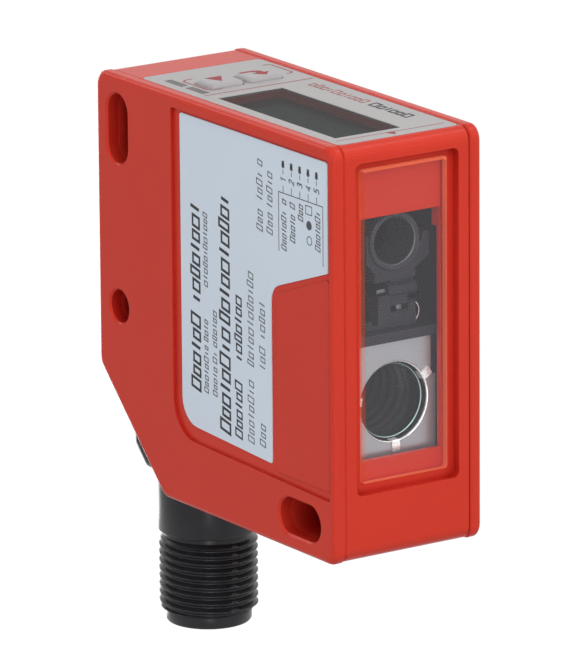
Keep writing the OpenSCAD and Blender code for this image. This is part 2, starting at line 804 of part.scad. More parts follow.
module laser_diode() {
  color([0.75, 0.65, 0.35]) placed() {
    bar_y(tube_d - 2 * tube_t - 2 * seat, tube_y + tube_l - 1.5, tube_y + tube_l - 0.3, 0, tube_z);
    bar_y(tube_d - 2 * tube_t - 1.4, tube_y + tube_l - 4.5, tube_y + tube_l - 1.5 + eps, 0, tube_z);
    for (a = [90, 210, 330]) bar_y(0.45, tube_y + tube_l - 0.3 - eps, tube_y + tube_l + 3.5,
                                  1.2 * cos(a), tube_z + 1.2 * sin(a));
  }
}

// Bent sheet round the receiving lens
module receiver_plate() {
  bottom = chassis_bottom + chassis_t + seat;
  top = shelf_z - shelf_t - seat;
  ear_top = lens_z + 2.5;
  narrow = chassis_w / 2 - 1.35;
  wide = chassis_w / 2 - 0.65;
  color(SILVER) placed() difference() {
    union() {
      rearward(plate_y, plate_y + plate_t) polygon([
        [-wide, bottom], [wide, bottom], [wide, ear_top], [narrow, ear_top], [narrow, top],
        [-narrow, top], [-narrow, ear_top], [-wide, ear_top]]);
    }
    bar_y(lens_d + 2 * seat, plate_y - 1, plate_y + 2, 0, lens_z);
  }
}

// Plano-convex lens with a flat rim, its bulging side to the front
module receiver_lens() {
  r = lens_d / 2 - lens_rim;
  curve_r = (r * r + lens_bulge * lens_bulge) / (2 * lens_bulge);
  steps = 8;
  color(CLEAR) placed() translate([0, lens_y, lens_z]) rotate([90, 0, 0]) rotate_extrude()
    polygon(concat([[0, -lens_t], [lens_d / 2, -lens_t], [lens_d / 2, 0]],
      [for (i = [steps:-1:0]) let (x = r * i / steps)
        [x, sqrt(curve_r * curve_r - x * x) - curve_r + lens_bulge]]));
}

// Thin ring in the plate's hole, with three tabs bent over the plate and a leg from each to the lens
module lens_spring_ring() {
  r = lens_d / 2;
  band = 0.12;
  bar = 0.25;
  tab_w = 1.1;
  tab_l = 1.4;
  reach = lens_y - seat - plate_y;
  color(SILVER) placed() translate([0, lens_y - seat, lens_z]) rotate([90, 0, 0]) {
    translate([0, 0, reach - plate_t]) linear_extrude(plate_t) difference() {
      circle(r = r);
      circle(r = r - band);
    }
    for (a = [32, 160, 272]) rotate(a) {
      translate([r - 2 * band, -tab_w / 2, 0]) cube([band, tab_w, reach + seat + bar]);
      translate([r - 2 * band, -tab_w / 2, reach - plate_t]) cube([1.5 * band, tab_w, plate_t]);
      translate([r - 2 * band, -tab_w / 2, reach + seat]) cube([tab_l, tab_w, bar]);
    }
  }
}

// Black cone that keeps stray light off the sensor
module light_baffle() {
  color(BLACK) placed() difference() {
    union() {
      translate([0, lens_wall_y + seat, lens_z]) rotate([-90, 0, 0])
        cylinder(d1 = baffle_d, d2 = baffle_d - 1.6, h = sensor_y - lens_wall_y - seat - 0.6);
      rearward(sensor_y - 0.6 - eps, sensor_board_y - seat)
        translate([0, lens_z]) square([9, 13], center = true);
    }
    translate([0, lens_wall_y, lens_z]) rotate([-90, 0, 0])
      cylinder(d1 = baffle_d - 1.6, d2 = baffle_d - 3.4, h = sensor_y - lens_wall_y - 0.6 + eps);
    rearward(sensor_y - 0.6, sensor_board_y + 1) translate([0, lens_z])
      square([4.4, 11], center = true);
  }
}

module line_sensor() {
  color([0.2, 0.22, 0.3]) placed() rearward(sensor_y, sensor_board_y)
    translate([0, lens_z]) square([4, 10.5], center = true);
}

module sensor_board() {
  color(BOARD) placed() rearward(sensor_board_y, sensor_board_y + board_t)
    translate([0, lens_z]) square([11, 16], center = true);
}

// Turning plug

// The elbow fills the cut corner; its outlet points down, or back after half a turn
module elbow_outline() {
  gap = elbow_gap * sqrt(2);
  start = body_d - cut_leg + gap;
  far = body_d - elbow_side;
  polygon([[elbow_side + start, elbow_side], [far - elbow_bevel, elbow_side],
           [far, elbow_side + elbow_bevel], [far, far - start]]);
}

module swivel_elbow() {
  soft = 0.8;
  clear_y = body_d - cut_leg + 1.6 * elbow_gap * sqrt(2);
  color(BLACK) placed() difference() {
    union() {
      hull() {
        across(-elbow_w / 2 + soft, elbow_w / 2 - soft) elbow_outline();
        across(-elbow_w / 2, elbow_w / 2) intersection() {
          elbow_outline();
          translate([-soft, soft]) elbow_outline();
        }
      }
      at_swivel() translate([0, 0, -hub_l]) cylinder(d = hub_d, h = hub_l + elbow_gap + 1);
      // The collar, kept clear of the cut corner's plane
      intersection() {
        translate([0, plug_y, thread_top]) cylinder(d = collar_d, h = elbow_side - thread_top + eps);
        across(-collar_d, collar_d) polygon([
          [clear_y + thread_top - 1, thread_top - 1], [body_d + 1, thread_top - 1],
          [body_d + 1, elbow_side + 1], [clear_y + elbow_side + 1, elbow_side + 1]]);
      }
      translate([0, plug_y, thread_bottom]) cylinder(d = plug_d, h = thread_l - neck_l);
      translate([0, plug_y, thread_bottom - tip_l]) cylinder(d = tip_d, h = thread_l + tip_l);
    }
    // Seal groove and clip groove in the hub
    at_swivel() {
      groove(seal_w, seal_groove_d, 1);
      groove(clip_w, clip_groove_d, clip_t + 2 * seat);
      translate([0, 0, -hub_l - 1]) cylinder(d = lead_bore, h = hub_l + 1 + meet_w + lead_bore / 2 + 0.1);
    }
    translate([0, plug_y, thread_bottom - tip_l - 1])
      cylinder(d = plug_bore, h = insert_top + 1 - thread_bottom + tip_l);
    translate([0, plug_y, insert_top - eps]) cylinder(d = lead_bore + 0.6, h = meet_z - insert_top - 1);
  }
}

// A ring cut round the hub at a place along the swivel's axis
module groove(w, d, l) {
  translate([0, 0, w]) difference() {
    cylinder(d = hub_d + 1, h = l);
    translate([0, 0, -1]) cylinder(d = d, h = l + 2);
  }
}

module swivel_seal() {
  color([0.08, 0.08, 0.08]) placed() at_swivel() translate([0, 0, seal_w + 0.5]) rotate_extrude()
    translate([(seal_groove_d + hub_d) / 4, 0]) circle(r = (hub_d - seal_groove_d) / 4 - 0.04, $fn = 24);
}

// Open ring behind the housing's wall that keeps the hub in
module swivel_clip() {
  color(SILVER) placed() at_swivel() translate([0, 0, clip_w + seat]) linear_extrude(clip_t) difference() {
    circle(d = hub_d + 2.2);
    circle(d = clip_groove_d + 2 * seat);
    translate([-1.5, 0]) square([3, hub_d]);
  }
}

module contact_insert() {
  color([0.1, 0.1, 0.11]) placed() translate([0, plug_y, insert_top - insert_l]) difference() {
    cylinder(d = plug_bore - 2 * seat, h = insert_l - seat);
    for (at = contact_places) translate([at[0], at[1], -1])
      cylinder(d = contact_d + 2 * seat, h = insert_l + 2);
  }
}

module contact_pins() {
  color([0.85, 0.7, 0.35]) placed() for (at = contact_places)
    translate([at[0], plug_y + at[1], insert_top - insert_l - contact_l]) {
      translate([0, 0, 0.4]) cylinder(d = contact_d, h = contact_l + insert_l + 1.1);
      cylinder(d1 = contact_d / 2, d2 = contact_d, h = 0.4 + eps);
    }
}

// Wires inside the elbow, from the contacts to the swivel's axis; they turn with it
module plug_leads() {
  top = insert_top + 1.6 + seat;
  color([0.2, 0.2, 0.22]) placed() {
    translate([0, plug_y, top]) cylinder(d = lead_d, h = meet_z - top);
    translate([0, plug_y, meet_z]) sphere(d = lead_d + 2 * eps);
    at_swivel() translate([0, 0, seat - lead_w]) cylinder(d = lead_d, h = lead_w + meet_w - seat);
  }
}

// Wires from the main board to the swivel, running along its axis
module lead_bundle() {
  bend = [0, cut_y - (hub_l + 2.5) / sqrt(2), cut_z + (hub_l + 2.5) / sqrt(2)];
  color([0.2, 0.2, 0.22]) placed() {
    at_swivel() translate([0, 0, -hub_l - 2.5]) cylinder(d = lead_d, h = hub_l + 2.5 - lead_w - seat);
    translate(bend) sphere(d = lead_d);
    bar_x(lead_d, 0, board_x - seat, [bend[1], bend[2]]);
  }
}

housing();
left_cover();
right_cover();
front_window();
keypad_foil();
display_window();
display_module();
select_button();
enter_button();
key_switches();
light_pipes();
status_leds();
keypad_board();
main_board();
board_chips();
board_capacitors();
board_screws();
ribbon_cable();
optics_chassis();
laser_bracket();
laser_cradle();
hinge_pin();
adjusting_screw();
leaf_spring();
laser_tube();
laser_lens();
laser_diode();
receiver_plate();
receiver_lens();
lens_spring_ring();
light_baffle();
line_sensor();
sensor_board();
swivel_elbow();
swivel_seal();
swivel_clip();
contact_insert();
contact_pins();
plug_leads();
lead_bundle();
label();
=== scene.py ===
"""Looks of the optical distance sensor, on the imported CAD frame.

Sizes are in mm unless a comment says otherwise.
"""

import math

import bmesh
import bpy
from mathutils import Matrix, Vector


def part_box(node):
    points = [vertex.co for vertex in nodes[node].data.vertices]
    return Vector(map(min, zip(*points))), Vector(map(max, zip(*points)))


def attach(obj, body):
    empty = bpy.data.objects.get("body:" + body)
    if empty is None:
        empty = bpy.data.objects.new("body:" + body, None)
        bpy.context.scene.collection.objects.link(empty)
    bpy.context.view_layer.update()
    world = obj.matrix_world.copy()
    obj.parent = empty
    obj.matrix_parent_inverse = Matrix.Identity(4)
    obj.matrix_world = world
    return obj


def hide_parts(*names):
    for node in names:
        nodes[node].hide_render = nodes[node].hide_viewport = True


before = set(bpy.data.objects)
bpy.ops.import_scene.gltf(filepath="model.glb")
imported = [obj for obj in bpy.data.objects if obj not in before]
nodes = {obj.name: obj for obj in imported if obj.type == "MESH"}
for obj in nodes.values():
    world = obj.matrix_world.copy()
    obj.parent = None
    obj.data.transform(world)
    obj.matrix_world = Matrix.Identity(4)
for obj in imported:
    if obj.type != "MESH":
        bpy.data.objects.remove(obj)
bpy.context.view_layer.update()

# The body as part.scad measures it, from its middle, front and bottom
BODY_D, BODY_H = 50, 50
CUT_LEG = 13.8
# The frame's origin is in the fixing hole
HOLE_Y, HOLE_Z = 45.4, 21.6


def place(x, y, z):
    """The point of the frame, in metres, that lies x, y, z from the body's middle, front and bottom."""
    return Vector((x / 1000, (y - HOLE_Y) / 1000, (z - HOLE_Z) / 1000))


def span(node):
    """The lowest and the highest corner of a CAD node, measured as place takes them."""
    return [(c.x * 1000, c.y * 1000 + HOLE_Y, c.z * 1000 + HOLE_Z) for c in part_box(node)]


# Camera, fitted to the photo's edges; angles are in degrees, the focal length in the photo's pixels

CAMERA_AZIMUTH, CAMERA_ELEVATION, CAMERA_ROLL = -34.0602, 15.1893, -0.4431
CAMERA_DISTANCE, CAMERA_SIDE, CAMERA_RISE = 947.142, 0.7182, 3.7382
FOCAL_PIXELS, PHOTO_HEIGHT = 8002.42, 666
SENSOR_SIZE = 36
# In metres
NEAREST_SEEN, FURTHEST_SEEN = 0.05, 20


def make_camera():
    az, el, roll = (math.radians(a) for a in (CAMERA_AZIMUTH, CAMERA_ELEVATION, CAMERA_ROLL))
    back = Vector((math.sin(az) * math.cos(el), -math.cos(az) * math.cos(el), math.sin(el)))
    level = Vector((0, 0, 1)).cross(back).normalized()
    upright = back.cross(level)
    right = math.cos(roll) * level + math.sin(roll) * upright
    up = -math.sin(roll) * level + math.cos(roll) * upright
    middle = Vector((0, BODY_D / 2, BODY_H / 2))
    at = middle - CAMERA_SIDE * right - CAMERA_RISE * up + CAMERA_DISTANCE * back
    data = bpy.data.cameras.new("camera")
    data.sensor_width = SENSOR_SIZE
    data.lens = FOCAL_PIXELS / PHOTO_HEIGHT * SENSOR_SIZE
    data.clip_start, data.clip_end = NEAREST_SEEN, FURTHEST_SEEN
    cam = bpy.data.objects.new("camera", data)
    bpy.context.scene.collection.objects.link(cam)
    cam.matrix_world = Matrix.Translation(place(*at)) @ Matrix((right, up, back)).transposed().to_4x4()
    bpy.context.scene.camera = cam


# Shader nodes


def feed(tree, value, socket):
    """Sets a socket to a number or a colour, or links another node's output to it."""
    if isinstance(value, bpy.types.NodeSocket):
        tree.links.new(value, socket)
    else:
        socket.default_value = value


def maths(tree, operation, *operands):
    """The output of a maths node, whose operands are numbers or outputs."""
    node = tree.nodes.new("ShaderNodeMath")
    node.operation = operation
    for operand, socket in zip(operands, node.inputs):
        feed(tree, operand, socket)
    return node.outputs[0]


def remap(tree, value, start, stop, low, high):
    """Maps an output from the range start to stop onto low to high, and holds it in that range."""
    node = tree.nodes.new("ShaderNodeMapRange")
    settings = {"Value": value, "From Min": start, "From Max": stop, "To Min": low, "To Max": high}
    for name, setting in settings.items():
        feed(tree, setting, node.inputs[name])
    return node.outputs[0]


def mix_colours(tree, share, first, second):
    node = tree.nodes.new("ShaderNodeMix")
    node.data_type = "RGBA"
    for name, setting in {"Factor": share, "A": first, "B": second}.items():
        feed(tree, setting, node.inputs[name])
    return node.outputs["Result"]


def mix_shaders(tree, share, first, second):
    node = tree.nodes.new("ShaderNodeMixShader")
    for setting, socket in zip((share, first, second), node.inputs):
        feed(tree, setting, socket)
    return node.outputs[0]


def bare_material(name):
    """A new material without nodes, and its node tree."""
    m = bpy.data.materials.new(name)
    m.use_nodes = True
    m.node_tree.nodes.clear()
    return m, m.node_tree


# Light: soft boxes, and a surround that the camera, mirrors and glass see as white and that lights softly

SKY_BELOW, SKY_LEVEL, SKY_ABOVE = (0.30, 0.30, 0.31, 1), (0.50, 0.50, 0.50, 1), (0.47, 0.47, 0.47, 1)
SKY_STRENGTH = 0.9
# Name, place and size in metres, and watts; each box looks at the frame's origin
SOFT_BOXES = (
    ("box_front", (-0.11, -0.33, 0.22), (0.30, 0.30), 0.7),
    ("box_right", (1.0, -0.9, 0.3), (0.5, 0.9), 2.2),
    ("box_left", (-1.3, 0.2, 0.4), (0.7, 0.9), 3),
    ("box_top", (-0.1, 0.1, 1.3), (1.0, 1.0), 0.5),
    ("strip_edge", (0.54, -0.26, 0.80), (0.26, 0.26), 2.2),
    ("strip_low", (-0.45, -0.75, -0.22), (0.14, 0.5), 1.3),
    ("box_rear", (0.3, 1.3, -0.2), (0.6, 0.6), 4.0),
    ("strip_rear", (-0.30, 0.85, 0.60), (0.28, 0.28), 0.8),
)


def make_surround():
    scene = bpy.context.scene
    scene.view_settings.view_transform = "Standard"
    scene.view_settings.look = "None"
    scene.world = bpy.data.worlds.new("surround")
    scene.world.use_nodes = True
    tree = scene.world.node_tree
    tree.nodes.clear()
    new, link = tree.nodes.new, tree.links.new
    coord, split, ramp = new("ShaderNodeTexCoord"), new("ShaderNodeSeparateXYZ"), new("ShaderNodeValToRGB")
    link(coord.outputs["Generated"], split.inputs[0])
    link(remap(tree, split.outputs["Z"], -1, 1, 0, 1), ramp.inputs[0])
    ramp.color_ramp.elements[0].color = SKY_BELOW
    ramp.color_ramp.elements[1].color = SKY_ABOVE
    ramp.color_ramp.elements.new(0.5).color = SKY_LEVEL
    soft, white = new("ShaderNodeBackground"), new("ShaderNodeBackground")
    link(ramp.outputs[0], soft.inputs["Color"])
    soft.inputs["Strength"].default_value = SKY_STRENGTH
    white.inputs["Color"].default_value = (1, 1, 1, 1)
    path, out = new("ShaderNodeLightPath"), new("ShaderNodeOutputWorld")
    mirrored = maths(tree, "MAXIMUM", path.outputs["Is Glossy Ray"], path.outputs["Is Transmission Ray"])
    seen = maths(tree, "MAXIMUM", path.outputs["Is Camera Ray"], mirrored)
    link(mix_shaders(tree, seen, soft.outputs[0], white.outputs[0]), out.inputs[0])


def make_soft_boxes():
    for name, at, size, watts in SOFT_BOXES:
        data = bpy.data.lights.new(name, "AREA")
        data.shape = "RECTANGLE"
        data.size, data.size_y = size
        data.energy = watts
        lamp = bpy.data.objects.new(name, data)
        bpy.context.scene.collection.objects.link(lamp)
        lamp.location = at
        lamp.rotation_euler = (-Vector(at)).to_track_quat("-Z", "Y").to_euler()


# Floor, with its half size in metres

FLOOR_Z = -45
FLOOR_HALF = 3
FLOOR_GLOW = 1.06
FLOOR_PAINT = (0.9, 0.9, 0.9, 1)
FLOOR_SHADOW = 0.12


def make_floor():
    """A pale floor well below the plug, because the part hangs in its mount. It keeps a faint shadow."""
    m, tree = bare_material("floor_white")
    new = tree.nodes.new
    glow, paint = new("ShaderNodeEmission"), new("ShaderNodeBsdfDiffuse")
    below, face = new("ShaderNodeBsdfTransparent"), new("ShaderNodeNewGeometry")
    out = new("ShaderNodeOutputMaterial")
    glow.inputs["Strength"].default_value = FLOOR_GLOW
    paint.inputs["Color"].default_value = FLOOR_PAINT
    above = mix_shaders(tree, FLOOR_SHADOW, glow.outputs[0], paint.outputs[0])
    tree.links.new(mix_shaders(tree, face.outputs["Backfacing"], above, below.outputs[0]), out.inputs[0])
    mesh = bmesh.new()
    bmesh.ops.create_grid(mesh, x_segments=1, y_segments=1, size=FLOOR_HALF)
    data = bpy.data.meshes.new("floor")
    mesh.to_mesh(data)
    mesh.free()
    floor = bpy.data.objects.new("floor", data)
    bpy.context.scene.collection.objects.link(floor)
    data.materials.append(m)
    floor.location = place(0, BODY_D / 2, FLOOR_Z)
    # It sends no light back, so the light from below stays that of the surround
    floor.visible_diffuse = floor.visible_glossy = floor.visible_transmission = floor.visible_shadow = False


# Materials

# How far the roughness wanders to either side and how low it may go, and how deep the fine bump is, in metres
ROUGH_SPREAD, LEAST_ROUGH, GRAIN_DEPTH = 0.06, 0.02, 0.00003
PATTERN_DETAIL, GRAIN_DETAIL = 4, 3
# Painted shade in grooves and holes: how far round a point a groove is felt, and which shares of
# open sky count as shut, fully shaded, and as open, unshaded
NOOK_REACH, NOOK_SHUT, NOOK_OPEN = 8.0, 0.12, 0.80
NOOK_SAMPLES, EDGE_SAMPLES = 8, 6
# One wave of the wave node takes up this much of its scaled coordinate
WAVE_LENGTH = 2 * math.pi / 20


def surface(name, rgb, rough=0.5, metal=0.0, grain=0.1, grain_scale=5000, vary=0.06, vary_scale=120,
            edge=0.0, specular=0.22, stretch=None, painted_shade=None, alone=True, bands=None, other=None):
    """An opaque material with an uneven colour and roughness and a fine bump.

    The colour wanders round rgb by the share vary, or goes to other and back once in bands mm along Y. In
    grooves and holes, which other pieces make too unless alone, it turns to the given shade colour: painted
    shade. Sharp edges look rounded with the radius edge.
    """
    m = bpy.data.materials.new(name)
    m.use_nodes = True
    tree = m.node_tree
    new, link = tree.nodes.new, tree.links.new
    bsdf = tree.nodes["Principled BSDF"]
    bsdf.inputs["Metallic"].default_value = metal
    bsdf.inputs["Specular IOR Level"].default_value = specular
    coord, mapping = new("ShaderNodeTexCoord"), new("ShaderNodeMapping")
    link(coord.outputs["Object"], mapping.inputs["Vector"])
    if stretch:
        mapping.inputs["Scale"].default_value = stretch
    if bands:
        pattern = new("ShaderNodeTexWave")
        pattern.bands_direction = "Y"
        pattern.inputs["Scale"].default_value = WAVE_LENGTH / (bands / 1000)
    else:
        pattern = new("ShaderNodeTexNoise")
        pattern.inputs["Scale"].default_value = vary_scale
        pattern.inputs["Detail"].default_value = PATTERN_DETAIL
    fine = new("ShaderNodeTexNoise")
    fine.inputs["Scale"].default_value = grain_scale
    fine.inputs["Detail"].default_value = GRAIN_DETAIL
    for texture in (pattern, fine):
        link(mapping.outputs[0], texture.inputs["Vector"])
    darker = [c * (1 - vary) for c in rgb]
    lighter = other or [min(1, c * (1 + vary)) for c in rgb]
    colour = mix_colours(tree, pattern.outputs["Fac"], (*darker, 1), (*lighter, 1))
    # Painted shade: where ambient occlusion finds little open sky, the base colour is mixed towards a dark
    # red
    if painted_shade:
        nook = new("ShaderNodeAmbientOcclusion")
        nook.samples = NOOK_SAMPLES
        nook.only_local = alone
        nook.inputs["Distance"].default_value = NOOK_REACH / 1000
        open_air = remap(tree, nook.outputs["AO"], NOOK_SHUT, NOOK_OPEN, 0, 1)
        colour = mix_colours(tree, open_air, (*painted_shade, 1), colour)
    link(colour, bsdf.inputs["Base Color"])
    smoothest, roughest = max(LEAST_ROUGH, rough - ROUGH_SPREAD), min(1, rough + ROUGH_SPREAD)
    link(remap(tree, fine.outputs["Fac"], 0, 1, smoothest, roughest), bsdf.inputs["Roughness"])
    bump = new("ShaderNodeBump")
    bump.inputs["Strength"].default_value = grain
    bump.inputs["Distance"].default_value = GRAIN_DEPTH
    link(fine.outputs["Fac"], bump.inputs["Height"])
    if edge:
        bevel = new("ShaderNodeBevel")
        bevel.samples = EDGE_SAMPLES
        bevel.inputs["Radius"].default_value = edge / 1000
        link(bevel.outputs[0], bump.inputs["Normal"])
    link(bump.outputs[0], bsdf.inputs["Normal"])
    return m


# A clear piece: how its light bends, its roughness, and how fine the smears on it are
CLEAR_IOR = 1.5
CLEAR_ROUGH, SMEARED_ROUGH, SMEAR_SCALE = 0.02, 0.05, 220
# A face leans if this share or less of its direction is along Y
FACES_FRONT = 0.93
# The leaning face on the camera's side, where X times Y of the direction is low, is clearer than the others,
# with less of the painted colour
NEAR_SIDE, FAR_SIDE, NEAR_SHARE = -0.35, -0.25, 0.35
# How strongly the leaning faces glow, as painted light, and the least share of shine that they keep
PAINTED_LEANING_GLOW, LEANING_SHINE = 0.15, 0.25


def leaning_faces(tree, face, haze, haze_rgb, lean_haze, lean_rgb):
    """A pane's haze, haze colour, glow and share of shine; on its leaning faces they differ, and there the
    colour and the glow are painted light.
    """
    new, link = tree.nodes.new, tree.links.new
    along, parts = new("ShaderNodeVectorMath"), new("ShaderNodeSeparateXYZ")
    along.operation = "DOT_PRODUCT"
    along.inputs[1].default_value = (0, 1, 0)
    link(face.outputs["True Normal"], along.inputs[0])
    link(face.outputs["True Normal"], parts.inputs[0])
    forward = maths(tree, "ABSOLUTE", along.outputs["Value"])
    flat = maths(tree, "GREATER_THAN", forward, FACES_FRONT)
    share = maths(tree, "MULTIPLY_ADD", flat, haze - lean_haze, lean_haze)
    turned = maths(tree, "MULTIPLY", parts.outputs["X"], forward)
    share = maths(tree, "MULTIPLY", share, remap(tree, turned, NEAR_SIDE, FAR_SIDE, NEAR_SHARE, 1))
    colour = mix_colours(tree, flat, (*lean_rgb, 1), (*haze_rgb, 1))
    # Painted light: the leaning faces glow in their colour, as bright edges
    glow = new("ShaderNodeEmission")
    glow.inputs["Color"].default_value = (*lean_rgb, 1)
    link(maths(tree, "MULTIPLY_ADD", flat, -PAINTED_LEANING_GLOW, PAINTED_LEANING_GLOW), glow.inputs["Strength"])
    return share, colour, glow.outputs[0], maths(tree, "MAXIMUM", flat, LEANING_SHINE)


def clear(name, tint, shine, haze=0.0, haze_rgb=(1, 1, 1), lean_haze=None, lean_rgb=None):
    """Thin clear plastic or glass: light goes straight through it, tinted, and its face mirrors a little.

    haze is the share of milky scatter. On a pane's slanting faces it is lean_haze, in the colour lean_rgb: a
    painted colour for the lit seat seen through them, which they also give off as a painted glow.
    """
    m, tree = bare_material(name)
    new, link = tree.nodes.new, tree.links.new
    coord, smear, face = new("ShaderNodeTexCoord"), new("ShaderNodeTexNoise"), new("ShaderNodeNewGeometry")
    link(coord.outputs["Object"], smear.inputs["Vector"])
    smear.inputs["Scale"].default_value = SMEAR_SCALE
    through, mirror = new("ShaderNodeBsdfTransparent"), new("ShaderNodeBsdfGlossy")
    dust, fresnel = new("ShaderNodeBsdfDiffuse"), new("ShaderNodeFresnel")
    through.inputs["Color"].default_value = (*tint, 1)
    dust.inputs["Color"].default_value = (*haze_rgb, 1)
    link(remap(tree, smear.outputs["Fac"], 0, 1, CLEAR_ROUGH, SMEARED_ROUGH), mirror.inputs["Roughness"])
    fresnel.inputs["IOR"].default_value = CLEAR_IOR
    # Only the face where a ray enters mirrors; inside, the far face lets it out
    gleam = remap(tree, face.outputs["Backfacing"], 0, 1, shine, 0)
    milk = dust.outputs[0]
    if lean_haze is not None:
        haze, colour, glow, calm = leaning_faces(tree, face, haze, haze_rgb, lean_haze, lean_rgb)
        link(colour, dust.inputs["Color"])
        both = new("ShaderNodeAddShader")
        link(milk, both.inputs[0])
        link(glow, both.inputs[1])
        milk = both.outputs[0]
        gleam = maths(tree, "MULTIPLY", gleam, calm)
    body = mix_shaders(tree, haze, through.outputs[0], milk)
    mirrored = maths(tree, "MULTIPLY", fresnel.outputs[0], gleam)
    out = new("ShaderNodeOutputMaterial")
    link(mix_shaders(tree, mirrored, body, mirror.outputs[0]), out.inputs[0])
    return m


# The moulded red, and the dark red that is painted as shade in grooves, holes and seams
RED, PAINTED_SHADE_RED = (0.62, 0.042, 0.023), (0.34, 0.000, 0.001)
MOULDED_RED = dict(rough=0.24, grain=0.22, grain_scale=6500, vary=0.05, edge=0.11, specular=0.10,
                   painted_shade=PAINTED_SHADE_RED)
PRINTED_FILM = dict(rough=0.34, specular=0.15, grain=0.05)
LOOKS = {
    "red": surface("red_plastic", RED, **MOULDED_RED),
    # The covers also take painted shade from the nearby faces of other pieces
    "red_cover": surface("red_cover_plastic", RED, alone=False, **MOULDED_RED),
    "foil": surface("foil_print", (0.43, 0.41, 0.41), vary=0.04, edge=0.05, **PRINTED_FILM),
    "label": surface("label_print", (0.66, 0.74, 0.83), rough=0.45, grain=0.06, vary=0.03),
    "key": surface("key_film", (0.43, 0.41, 0.42), vary=0.03, edge=0.15, **PRINTED_FILM),
    "black": surface("black_frame", (0.033, 0.032, 0.041), rough=0.38, specular=0.1, grain=0.08, vary=0.2,
                     edge=0.12),
    "plug": surface("black_plug", (0.020, 0.020, 0.023), rough=0.30, grain=0.25, grain_scale=3000, vary=0.4,
                    vary_scale=500, edge=0.08),
    "tube": surface("dark_tube", (0.040, 0.040, 0.048), rough=0.28, metal=0.3, grain=0.1, vary=0.1),
    "steel": surface("bright_steel", (0.60, 0.60, 0.61), rough=0.2, metal=1.0, grain=0.05, vary=0.04,
                     edge=0.05),
    "spring": surface("spring_strip", (0.95, 0.95, 0.95), rough=0.28, metal=0.45, grain=0.05, vary=0.03,
                      edge=0.04),
    # Lighter than the tube: a painted highlight on the edge of the tube's bore
    "lip": surface("lip_painted_highlight", (0.22, 0.22, 0.24), rough=0.25, metal=0.5, grain=0.05, vary=0.05),
    # Pale teal: a painted highlight on the lens's ground rim
    "ground": surface("ground_edge_painted_highlight", (0.50, 0.68, 0.66), rough=0.25, metal=0.3, grain=0.05, vary=0.05),
    "pin": surface("dark_steel", (0.12, 0.12, 0.13), rough=0.3, metal=1.0, grain=0.05, vary=0.06, edge=0.05),
    "sheet": surface("rolled_sheet", (0.38, 0.38, 0.40), rough=0.24, metal=0.6, grain=0.04, vary=0.05,
                     edge=0.05, stretch=(1, 1, 0.06)),
    "board": surface("solder_resist", (0.02, 0.12, 0.04), rough=0.35, vary=0.1, edge=0.05),
    "chip": surface("chip_moulding", (0.02, 0.02, 0.022), rough=0.55, vary=0.1, edge=0.1),
    "capacitor": surface("capacitor_case", (0.45, 0.30, 0.10), rough=0.45, vary=0.08, edge=0.1),
    "flex": surface("flex_film", (0.50, 0.22, 0.05), rough=0.3, vary=0.06),
    "brass": surface("brass_can", (0.62, 0.45, 0.18), rough=0.25, metal=1.0, vary=0.05, edge=0.05),
    "gold": surface("contact_gold", (0.85, 0.60, 0.25), rough=0.22, metal=1.0, vary=0.04, edge=0.05),
    "rubber": surface("seal_rubber", (0.015, 0.015, 0.015), rough=0.65, vary=0.1),
    "sheath": surface("lead_sheath", (0.02, 0.02, 0.022), rough=0.5, vary=0.1),
    "led": surface("led_lens", (0.80, 0.76, 0.62), rough=0.3, vary=0.03, edge=0.1),
    "smoked": surface("smoked_plastic", (0.045, 0.030, 0.033), rough=0.25, grain=0.03, vary=0.1, edge=0.05),
    "display": surface("display_face", (0.020, 0.021, 0.021), rough=0.22, grain=0.04, vary=0.1),
    "ink_dark": surface("ink_dark", (0.030, 0.030, 0.036), rough=0.5, vary=0.1),
    "ink_grey": surface("ink_grey", (0.07, 0.07, 0.08), rough=0.5, vary=0.1),
    "ink_red": surface("ink_red", (0.30, 0.035, 0.040), rough=0.5, vary=0.08),
    # The pane's leaning faces take a painted orange-red and a painted glow, for the lit seat seen through
    # them
    "pane": clear("window_pane", (0.995, 0.995, 0.995), shine=0.22, haze=0.027, haze_rgb=(0.95, 0.93, 1.0),
                  lean_haze=0.62, lean_rgb=(0.95, 0.21, 0.11)),
    "film": clear("display_film", (0.55, 0.60, 0.60), shine=0.10, haze=0.04, haze_rgb=(1.0, 0.92, 0.94)),
    "optic": clear("coated_glass", (0.62, 0.74, 0.74), shine=0.15),
    "lens": clear("lens_glass", (0.80, 0.90, 0.92), shine=0.25),
    # Bands along Y in teal and dull red: painted reflections, as seen through the receiving lens
    "baffle": surface("baffle_thread_painted_reflections", (0.022, 0.040, 0.042), rough=0.3, bands=1.6,
                      other=(0.11, 0.055, 0.058)),
}
NODE_LOOKS = {
    "housing": "red", "left_cover": "red_cover", "right_cover": "red_cover", "front_window": "pane",
    "keypad_foil": "foil", "display_window": "film", "display_module": "display", "select_button": "key",
    "enter_button": "key", "key_switches": "steel", "light_pipes": "smoked", "status_leds": "led",
    "keypad_board": "board", "main_board": "board", "board_chips": "chip", "board_capacitors": "capacitor",
    "board_screws": "steel", "ribbon_cable": "flex", "optics_chassis": "black", "laser_bracket": "black",
    "laser_cradle": "black", "hinge_pin": "pin", "adjusting_screw": "pin", "leaf_spring": "steel",
    "laser_tube": "tube", "laser_lens": "optic", "laser_diode": "brass", "receiver_plate": "sheet",
    "receiver_lens": "optic", "lens_spring_ring": "steel", "light_baffle": "baffle", "line_sensor": "chip",
    "sensor_board": "board", "swivel_elbow": "plug", "swivel_seal": "rubber", "swivel_clip": "steel",
    "contact_insert": "plug", "contact_pins": "gold", "plug_leads": "sheath", "lead_bundle": "sheath",
    "label": "label",
}


def dress(o, look):
    o.data.materials.clear()
    o.data.materials.append(LOOKS[look])


# Building pieces

SEGMENTS = 96


